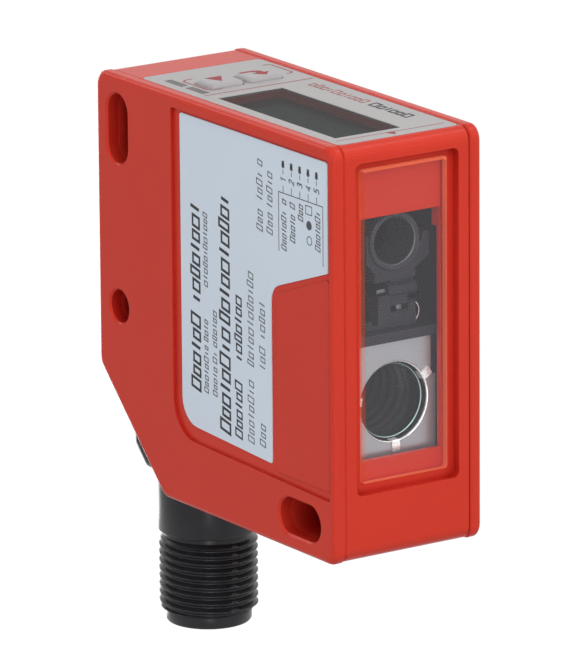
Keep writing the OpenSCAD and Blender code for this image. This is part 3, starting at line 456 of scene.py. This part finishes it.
def piece(name, mesh, look, body, smooth=None):
    """Links a bmesh as a piece that rides on a body; edges up to smooth degrees look round."""
    data = bpy.data.meshes.new(name)
    bmesh.ops.recalc_face_normals(mesh, faces=mesh.faces)
    if smooth is not None:
        for f in mesh.faces:
            f.smooth = True
        for e in mesh.edges:
            e.smooth = len(e.link_faces) == 2 and e.calc_face_angle(0) < math.radians(smooth)
    mesh.to_mesh(data)
    mesh.free()
    o = bpy.data.objects.new(name, data)
    bpy.context.scene.collection.objects.link(o)
    dress(o, look)
    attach(o, body)
    return o


def rings(mesh, rows, segments, put, closed=True, cap=False):
    """Joins rows of (radius, height) into a skin of rings; put(radius, angle, height) gives a point.

    A radius is a number or a function of angle and height. The last row joins the first if closed, and cap
    fills the end rings.
    """
    grid = []
    for radius, h in rows:
        ring = []
        for j in range(segments):
            a = 2 * math.pi * j / segments
            ring.append(mesh.verts.new(put(radius(a, h) if callable(radius) else radius, a, h)))
        grid.append(ring)
    count = len(grid) if closed else len(grid) - 1
    for i in range(count):
        low, high = grid[i], grid[(i + 1) % len(grid)]
        for j in range(segments):
            k = (j + 1) % segments
            mesh.faces.new((low[j], low[k], high[k], high[j]))
    if cap:
        mesh.faces.new(grid[0])
        mesh.faces.new(reversed(grid[-1]))


def shifted(outline, u, v):
    """An outline's points, moved by u and v."""
    return [(u + du, v + dv) for du, dv in outline]


def prism(mesh, outline, put, low, high):
    """Extrudes an outline of (u, v) points from low to high; put(u, v, w) gives the point."""
    bottom = [mesh.verts.new(put(u, v, low)) for u, v in outline]
    top = [mesh.verts.new(put(u, v, high)) for u, v in outline]
    mesh.faces.new(bottom)
    mesh.faces.new(reversed(top))
    for i in range(len(outline)):
        j = (i + 1) % len(outline)
        mesh.faces.new((bottom[i], bottom[j], top[j], top[i]))


# Plug with its thread, elbow block and hub

CUT_Y = BODY_D - CUT_LEG
# How far the plug's axis lies in from the rear
PLUG_INSET = 7.6
PLUG_Y = BODY_D - PLUG_INSET
PLUG_SEGMENTS = 144
COLLAR_R, COLLAR_L, COLLAR_TOP, COLLAR_TOP_R, COLLAR_SHOULDER = 6.1, 7.1, 3.4, 5.3, 0.35
# How far the collar stays off the cut corner's plane, along Y
COLLAR_CLEAR = 0.23
NECK_R = 5.4
# How far apart two rows of points are where the radius jumps
ROW_STEP = 0.02
THREAD_R, THREAD_PITCH, THREAD_DEPTH = 6.0, 1.0, 0.60
THREAD_TOP, THREAD_BOTTOM = -7.7, -17.1
# Rings of points for each millimetre of thread
THREAD_STEPS = 20
# Half the width of a crest, and the width of a flank
CREST_HALF, FLANK_W = 0.07, 0.34
# How much the thread is cut down at its lower and its upper end, and how fast it rises from there
LOW_CUT, LOW_RISE, HIGH_CUT, HIGH_RISE = 0.75, 1.6, 0.62, 1.3
# The thread is low within this angle, in degrees, of the mould's parting line, and rises from its middle
PARTING_ANGLE, PARTING_DEPTH, PARTING_RISE = 4.5, 0.34, 0.05
TIP_R, TIP_END = 5.2, -18.5
MOUTH_R, MOUTH_TOP, CORE_R = 4.3, -5.6, 2.9
# Softened edges, as (radius, height) from the sharp corner
COLLAR_FOOT = ((0, 0.25), (-0.08, 0.1), (-0.24, 0))
TIP_EDGE, MOUTH_EDGE = ((0, 0.25), (-0.15, 0.02), (-0.3, 0)), ((0.12, 0), (0, 0.1))
# The gap is measured square to the cut corner's plane
ELBOW_SIDE, ELBOW_W, ELBOW_BEVEL, ELBOW_GAP, ELBOW_SOFT = 0.4, 12, 2.6, 0.1, 0.7
HUB_R, HUB_L, HUB_TOP, HUB_BORE_R, HUB_EDGE = 5.5, 5.2, 0.3, 3.0, 0.2
# Radius, and where it begins and ends along the hub
SEAL_GROOVE, CLIP_GROOVE = (4.65, -0.6, -1.6), (4.9, -2.0, -2.9)


def plug_point(r, a, h):
    return place(r * math.cos(a), PLUG_Y + r * math.sin(a), h)


def thread_radius(a, h):
    """The radius of the thread, which is flattened along the parting line at the front and the rear."""
    phase = (h + a / (2 * math.pi)) % THREAD_PITCH
    from_crest = abs(phase - THREAD_PITCH / 2)
    r = THREAD_R - THREAD_DEPTH * min(1, max(0, (from_crest - CREST_HALF) / FLANK_W))
    r = min(r, THREAD_R - LOW_CUT + LOW_RISE * max(0, h - THREAD_BOTTOM))
    r = min(r, THREAD_R - HIGH_CUT + HIGH_RISE * max(0, THREAD_TOP - h))
    off = abs(math.degrees(a) % 180 - 90)
    if off < PARTING_ANGLE:
        r = min(r, THREAD_R - PARTING_DEPTH + PARTING_RISE * off)
    return r


def make_plug_shell():
    """The collar, the thread and the tip, open below for the contacts."""
    mesh = bmesh.new()
    neck = -COLLAR_L
    rows = [(CORE_R, COLLAR_TOP), (COLLAR_TOP_R, COLLAR_TOP), (COLLAR_R, COLLAR_SHOULDER)]
    rows += shifted(COLLAR_FOOT, COLLAR_R, neck)
    rows += [(NECK_R, neck - ROW_STEP), (NECK_R - ROW_STEP, THREAD_TOP + ROW_STEP)]
    length = THREAD_TOP - THREAD_BOTTOM
    count = round(length * THREAD_STEPS)
    rows += [(thread_radius, THREAD_TOP - length * i / count) for i in range(count + 1)]
    rows.append((TIP_R, THREAD_BOTTOM - ROW_STEP))
    rows += shifted(TIP_EDGE, TIP_R, TIP_END) + shifted(MOUTH_EDGE, MOUTH_R, TIP_END)
    rows += [(MOUTH_R, MOUTH_TOP), (CORE_R, MOUTH_TOP)]
    rings(mesh, rows, PLUG_SEGMENTS, plug_point)
    # The collar stays clear of the cut corner's plane
    geom = mesh.verts[:] + mesh.edges[:] + mesh.faces[:]
    bmesh.ops.bisect_plane(mesh, geom=geom, plane_co=place(0, CUT_Y + COLLAR_CLEAR, 0),
                           plane_no=Vector((0, 1, -1)).normalized(), clear_inner=True, dist=1e-7)
    open_edges = [e for e in mesh.edges if len(e.link_faces) == 1]
    bmesh.ops.holes_fill(mesh, edges=open_edges, sides=0)
    return piece("plug_shell", mesh, "plug", "plug", smooth=38)


def make_elbow_block():
    """The block in the cut corner, with rounded edges."""
    mesh = bmesh.new()
    start, far = CUT_Y + ELBOW_GAP * math.sqrt(2), BODY_D - ELBOW_SIDE
    outline = [(start + ELBOW_SIDE, ELBOW_SIDE), (far - ELBOW_BEVEL, ELBOW_SIDE),
               (far, ELBOW_SIDE + ELBOW_BEVEL), (far, far - start)]
    prism(mesh, outline, lambda u, v, w: place(w, u, v), -ELBOW_W / 2, ELBOW_W / 2)
    block = piece("elbow_block", mesh, "plug", "plug", smooth=30)
    soft = block.modifiers.new("soft_edges", "BEVEL")
    soft.width = ELBOW_SOFT / 1000
    soft.segments = 3
    soft.limit_method = "ANGLE"
    return block


def make_elbow_hub():
    """The hub through the housing's wall, with its grooves for the seal and the clip."""
    mesh = bmesh.new()
    out, across = Vector((0, 1, -1)).normalized(), Vector((0, 1, 1)).normalized()
    middle = place(0, BODY_D - CUT_LEG / 2, CUT_LEG / 2)

    def hub_point(r, a, h):
        return middle + (out * h + Vector((1, 0, 0)) * r * math.cos(a) + across * r * math.sin(a)) / 1000

    rows = [(HUB_R, HUB_TOP)]
    for r, begin, end in (SEAL_GROOVE, CLIP_GROOVE):
        rows += [(HUB_R, begin), (r, begin), (r, end), (HUB_R, end)]
    rows += [(HUB_R, HUB_EDGE - HUB_L), (HUB_R - HUB_EDGE, -HUB_L), (HUB_BORE_R, -HUB_L),
             (HUB_BORE_R, HUB_TOP)]
    rings(mesh, rows, SEGMENTS, hub_point)
    return piece("elbow_hub", mesh, "plug", "plug", smooth=30)


def make_plug():
    shell = make_plug_shell()
    block = make_elbow_block()
    hub = make_elbow_hub()
    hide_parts("swivel_elbow")


# Optics: the ground lens with its spring ring, and the tube with a flared mouth

LENS_BULGE, LENS_RIM, LENS_STEPS = 0.8, 0.5, 16
LENS_MIDDLE_R, LENS_BACK_EDGE, LENS_FRONT_EDGE = 0.001, 0.15, 0.12
# The ground edge's section, as (radius, Y) from where the lens starts to bulge; its pale teal is a painted
# highlight on the lens's rim
GROUND_EDGE = ((0.07, -0.12), (-0.02, -0.01), (0.07, -0.01))
# Sections of the spring ring, as (radius, Y) from the lens's rim and the plate's front: its band in the
# plate's hole, and a tab with its leg in the hole, its bend and its free end
BAND = ((-0.01, 0.01), (-0.13, 0.10), (-0.13, 0.35), (-0.01, 0.35))
TAB = ((-0.28, 0.88), (-0.28, -0.14), (-0.20, -0.22), (0.3, -0.26), (1.0, -0.20), (1.1, -0.12), (1.0, -0.03),
       (-0.16, -0.03), (-0.16, 0.88))
TAB_ANGLES, TAB_W = (32, 172, 272), 1.04
TUBE_WALL, TUBE_EDGE, TUBE_FLARE, TUBE_FLARE_L = 0.7, 0.12, 0.2, 0.3
# The lip's section, as (radius, Y) from the bore and the front of the tube; its light grey paints the bore
# edge's highlight
TUBE_LIP = ((0.14, 0.08), (0.05, 0.21), (0.14, 0.21))


def middle_of(node):
    """The X and Z of a node's middle."""
    (x0, _, z0), (x1, _, z1) = span(node)
    return (x0 + x1) / 2, (z0 + z1) / 2


def lathe(name, node, rows, look, closed=True, cap=False, smooth=25):
    """Turns (radius, Y) rows round the Y axis through the middle of a node's box."""
    x, z = middle_of(node)
    mesh = bmesh.new()

    def turned(r, a, h):
        return place(x + r * math.cos(a), h, z + r * math.sin(a))

    rings(mesh, rows, SEGMENTS, turned, closed, cap)
    return piece(name, mesh, look, "body", smooth)


def make_lens(rim, front, back):
    """The receiving lens, flat behind and bulging to the front inside a flat rim."""
    shoulder, bulge_r = front + LENS_BULGE, rim - LENS_RIM
    curve = (bulge_r ** 2 + LENS_BULGE ** 2) / (2 * LENS_BULGE)
    rows = [(LENS_MIDDLE_R, back), (rim - LENS_BACK_EDGE, back), (rim, back - LENS_BACK_EDGE),
            (rim, shoulder + LENS_FRONT_EDGE), (rim - LENS_FRONT_EDGE, shoulder)]
    for i in range(LENS_STEPS + 1):
        r = bulge_r * (1 - i / LENS_STEPS) + LENS_MIDDLE_R
        rows.append((r, shoulder - (math.sqrt(curve ** 2 - r ** 2) - curve + LENS_BULGE)))
    lens = lathe("ground_lens", "receiver_lens", rows, "lens", closed=False, cap=True, smooth=30)
    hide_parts("receiver_lens")
    edge = lathe("lens_ground_edge", "receiver_lens", shifted(GROUND_EDGE, bulge_r, shoulder), "ground")


def make_spring(rim, plate_front):
    """The lens's spring ring: a band in the plate's hole, and three tabs bent over the plate."""
    ring = lathe("spring_ring", "receiver_lens", shifted(BAND, rim, plate_front), "spring")
    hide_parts("lens_spring_ring")
    section = shifted(TAB, rim, plate_front)
    x, z = middle_of("receiver_lens")
    mesh = bmesh.new()
    for angle in TAB_ANGLES:
        cos, sin = math.cos(math.radians(angle)), math.sin(math.radians(angle))
        prism(mesh, section, lambda u, v, w: place(x + u * cos - w * sin, v, z + u * sin + w * cos),
              -TAB_W / 2, TAB_W / 2)
    tabs = piece("spring_tabs", mesh, "spring", "body", smooth=35)


def make_tube():
    """The laser's tube with a flared mouth, and a lighter lip inside the mouth, a painted highlight on the
    bore's edge.
    """
    (x0, near, _), (x1, far, _) = span("laser_tube")
    outer = (x1 - x0) / 2
    bore = outer - TUBE_WALL
    rows = [(outer - TUBE_EDGE, near), (outer, near + TUBE_EDGE), (outer, far), (bore, far),
            (bore, near + TUBE_FLARE_L), (bore + TUBE_FLARE, near)]
    tube = lathe("turned_tube", "laser_tube", rows, "tube")
    lip = lathe("tube_lip", "laser_tube", shifted(TUBE_LIP, bore, near), "lip")
    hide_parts("laser_tube")


def make_optics():
    (x0, front, _), (x1, back, _) = span("receiver_lens")
    rim = (x1 - x0) / 2
    plate_front = span("receiver_plate")[0][1]
    make_lens(rim, front, back)
    make_spring(rim, plate_front)
    make_tube()


# Print on the label and the foil: thin shapes a hundredth of a millimetre proud

PRINT_T = 0.012
# Print that crosses other print starts this much higher
PRINT_STEP = 0.001
# The lowest cosine that lengthens a mitre
MITRE_LIMIT = 0.6
# Stand-ins for letters: how long and how tall they are in turn, and how far they slant
LETTER_LENGTHS = (1.0, 0.72, 0.9, 0.55, 0.85, 1.1, 0.65)
LETTER_HEIGHTS = (1, 0.76, 0.76, 1, 0.76)
LETTER_SLANT = 0.22
# A letter shorter than this is a bar, drawn with a wider pen, and a longer one is a frame
FRAME_LENGTH, BAR_PEN = 0.7, 1.2
# The last letter of a span starts with room for at least this share of its length
LEAST_ROOM = 0.4
BAR_LINE = ((0, 0.5), (1, 0.5))
FRAME_LINE = ((0.5, 0), (1, 0), (1, 1), (0, 1), (0, 0), (0.5, 0))
# The digits 1 to 5, as lines through (x, y) points
DIGITS = (
    [(0.1, 0.72), (0.38, 1.0), (0.38, 0.0)],
    [(0.03, 0.78), (0.2, 1.0), (0.42, 1.0), (0.54, 0.78), (0.48, 0.55), (0.02, 0.0), (0.58, 0.0)],
    [(0.03, 0.9), (0.3, 1.0), (0.52, 0.82), (0.42, 0.56), (0.22, 0.52), (0.5, 0.42), (0.54, 0.16),
     (0.3, 0.0), (0.02, 0.1)],
    [(0.6, 0.3), (0.0, 0.3), (0.42, 1.0), (0.42, 0.0)],
    [(0.55, 1.0), (0.12, 1.0), (0.06, 0.55), (0.32, 0.64), (0.54, 0.45), (0.5, 0.14), (0.26, 0.0),
     (0.0, 0.1)],
)
# The label's lines run upward: lowest and highest Y, spans in Z, letter length, gap and, if heavy, pen
HEAVY_LINES = (
    (28.25, 30.05, ((14.9, 24.4), (25.6, 38.4)), 1.15, 0.62, 0.34),
    (22.0, 24.0, ((11.0, 23.4), (24.4, 39.7)), 1.2, 0.62, 0.34),
    (19.5, 20.85, ((11.0, 18.4), (20.4, 28.8)), 0.85, 0.46, 0.24),
)
LIGHT_LINES = (
    (26.6, 27.4, ((15.0, 20.6), (21.3, 23.8), (28.0, 36.8)), 0.5, 0.34),
    (24.75, 25.55, ((15.0, 18.4), (19.0, 20.3), (21.0, 25.3)), 0.5, 0.34),
    (17.0, 18.2, ((11.0, 18.8), (20.4, 32.2)), 0.62, 0.46),
    (14.6, 15.7, ((11.1, 14.3), (20.5, 23.4), (24.2, 28.7)), 0.62, 0.46),
    (14.9, 16.05, ((37.2, 39.9), (40.9, 44.2), (45.0, 45.6)), 0.55, 0.45),
    (12.85, 13.95, ((37.2, 39.6), (40.4, 45.0)), 0.55, 0.45),
    (10.0, 10.9, ((35.9, 40.4), (41.4, 41.9)), 0.45, 0.32),
    (8.2, 9.15, ((37.2, 40.4), (41.2, 42.1)), 0.45, 0.32),
    (6.55, 7.45, ((40.1, 42.2),), 0.45, 0.32),
    (3.05, 4.0, ((37.2, 41.8),), 0.45, 0.32),
)
LIGHT_PEN, FINE_PEN, DIGIT_PEN = 0.13, 0.11, 0.15
# The contact table, as (Y, Z) points, the Y of its first row, and how far apart the rows are
TABLE = ((11.5, 35.6), (11.5, 42.7), (2.45, 42.7), (2.45, 35.6))
FIRST_CONTACT_Y, CONTACT_STEP = 10.55, 1.71
# A row along Z: a line before and after its digit, where the digit starts, and a dot and a block at the end
ROW_LINES, ROW_DIGIT = ((42.78, 43.6), (44.95, 45.5)), 44.0
ROW_DOT, ROW_DOT_R, ROW_BLOCK, ROW_BLOCK_HALF = 45.95, 0.30, (46.05, 46.55), 0.24
# How tall a digit is, how much it is narrowed and how far it slants
DIGIT_TALL, DIGIT_WIDE, DIGIT_SLANT = 1.0, 0.85, 0.15
# In the third and fourth rows: a dot and a circle as Y, Z and radius, and a square
DOT, CIRCLE = (5.28, 39.9, 0.55), (5.22, 38.1, 0.5)
SQUARE = ((4.7, 41.2), (4.7, 42.2), (5.95, 42.2), (5.95, 41.2), (4.7, 41.2))
# On the foil, in X and Y: two lines across, and a bracket at the outer side of each key, with their pens
FOIL_LINES = (
    (((-7.5, 30.95), (8.0, 30.95)), 0.2),
    (((-7.6, 3.5), (7.6, 3.5)), 0.14),
    (((-3.9, 38.95), (-4.95, 38.95), (-5.5, 38.4), (-5.5, 33.3), (-5.0, 32.78), (-3.7, 32.78)), 0.22),
    (((6.8, 39.9), (7.4, 39.9), (7.8, 39.5), (7.8, 35.1), (7.4, 34.7), (6.8, 34.7)), 0.22),
)
FOIL_MARK = ((-0.75, 3.6), (0.65, 3.6), (-0.05, 2.25))
# The foil's words, in the form of the label's lines, but with X for Y and Y for Z
RED_WORDS, DARK_WORDS = (5.6, 6.9, ((17.2, 29.0),), 0.8, 0.5, 0.17), (5.6, 6.9, ((8.3, 15.9),), 1.0, 0.5, 0.3)
KEY_TRIANGLE = ((-3.75, 36.6), (-1.35, 36.6), (-2.7, 34.35))
KEY_ARROW = ((1.1, 36.1), (2.3, 36.1), (2.9, 35.8), (2.9, 35.3), (2.2, 35.3), (3.4, 34.0), (4.6, 35.3),
             (3.9, 35.3), (3.9, 36.1), (3.0, 36.6), (1.1, 36.6))


def flat_print(name, shapes, put, height, look, body="body"):
    """Lays outlines of ink on a face as one piece; put(u, v, w) gives the point w above the face."""
    mesh = bmesh.new()
    for outline in shapes:
        prism(mesh, outline, put, height, height + PRINT_T)
    o = piece(name, mesh, look, body)
    return o


def bar(u, start, end, half):
    """The outline of a bar from start to end along v, half wide to either side of u."""
    return [(u - half, start), (u + half, start), (u + half, end), (u - half, end)]


def ribbon(points, width):
    """The outline of a line of the given width through (u, v) points, with mitred corners."""
    left, right = [], []
    for i, (u, v) in enumerate(points):
        before, after = points[max(i - 1, 0)], points[min(i + 1, len(points) - 1)]
        a = Vector((u - before[0], v - before[1])).normalized() if i else None
        b = Vector((after[0] - u, after[1] - v)).normalized() if i < len(points) - 1 else None
        way = ((a or b) + (b or a)).normalized()
        reach = width / 2 / max(MITRE_LIMIT, way.dot(a or b))
        left.append((u - way.y * reach, v + way.x * reach))
        right.append((u + way.y * reach, v - way.x * reach))
    return left + right[::-1]


def disc(u, v, r, count=20):
    angles = [2 * math.pi * i / count for i in range(count)]
    return [(u + r * math.cos(a), v + r * math.sin(a)) for a in angles]


def stand_ins(low, high, spans, length, gap, pen):
    """Slanted frames and bars of uneven length, standing from low to high and running along each span."""
    shapes, k = [], 0
    for start, end in spans:
        at = start
        while at + LEAST_ROOM * length < end:
            share = LETTER_LENGTHS[k % len(LETTER_LENGTHS)]
            stop = min(end, at + length * share)
            tall = (high - low) * LETTER_HEIGHTS[k % len(LETTER_HEIGHTS)]

            def point(u, v):
                return low + u * tall, at + v * (stop - at) + LETTER_SLANT * u * tall

            if share < FRAME_LENGTH:
                shapes.append(ribbon([point(*c) for c in BAR_LINE], BAR_PEN * pen))
            else:
                shapes.append(ribbon([point(*c) for c in FRAME_LINE], pen))
            at, k = stop + gap, k + 1
    return shapes


def contact_table():
    """The outlines of the contact table, a thin frame with a row for each contact, and of its digits."""
    table = [ribbon(TABLE, FINE_PEN)]
    digits = []
    for i, line in enumerate(DIGITS):
        u = FIRST_CONTACT_Y - CONTACT_STEP * i
        table += [bar(u, start, end, FINE_PEN / 2) for start, end in ROW_LINES]
        table.append(disc(u, ROW_DOT, ROW_DOT_R, count=12))
        table.append(bar(u, *ROW_BLOCK, ROW_BLOCK_HALF))
        low = u - DIGIT_TALL / 2
        points = [(low + DIGIT_TALL * y, ROW_DIGIT + DIGIT_WIDE * x + DIGIT_SLANT * y) for x, y in line]
        digits.append(ribbon(points, DIGIT_PEN))
    circle = disc(*CIRCLE)
    table += [disc(*DOT), ribbon(circle + circle[:1], FINE_PEN), ribbon(SQUARE, FINE_PEN)]
    return table, digits


def make_label_print():
    face = span("label")[0][0]

    def put(u, v, w):
        return place(face - w, u, v)

    heavy = [shape for line in HEAVY_LINES for shape in stand_ins(*line)]
    light = [shape for line in LIGHT_LINES for shape in stand_ins(*line, LIGHT_PEN)]
    flat_print("label_lines_heavy", heavy, put, 0, "ink_dark")
    flat_print("label_lines_light", light, put, 0, "ink_grey")
    table, digits = contact_table()
    flat_print("label_table", table, put, PRINT_STEP, "ink_grey")
    flat_print("label_digits", digits, put, 2 * PRINT_STEP, "ink_grey")


def make_foil_print():
    foil_top, key_top = span("keypad_foil")[1][2], span("select_button")[1][2]

    def put(u, v, w):
        return place(u, v, foil_top + w)

    def cap(u, v, w):
        return place(u, v, key_top + w)

    lines = [ribbon(points, pen) for points, pen in FOIL_LINES]
    flat_print("foil_lines", lines, put, 0, "ink_red")
    flat_print("foil_mark", [FOIL_MARK], put, 2 * PRINT_STEP, "ink_red")
    flat_print("foil_words_red", stand_ins(*RED_WORDS), put, 0, "ink_red")
    flat_print("foil_words_dark", stand_ins(*DARK_WORDS), put, 0, "ink_dark")
    flat_print("key_triangle", [KEY_TRIANGLE], cap, 0, "ink_red", "select_key")
    flat_print("key_arrow", [KEY_ARROW], cap, 0, "ink_red", "enter_key")


make_camera()
make_surround()
make_soft_boxes()
make_floor()
for node_name, look_name in NODE_LOOKS.items():
    dress(nodes[node_name], look_name)
make_plug()
make_optics()
make_label_print()
make_foil_print()

bpy.context.view_layer.update()
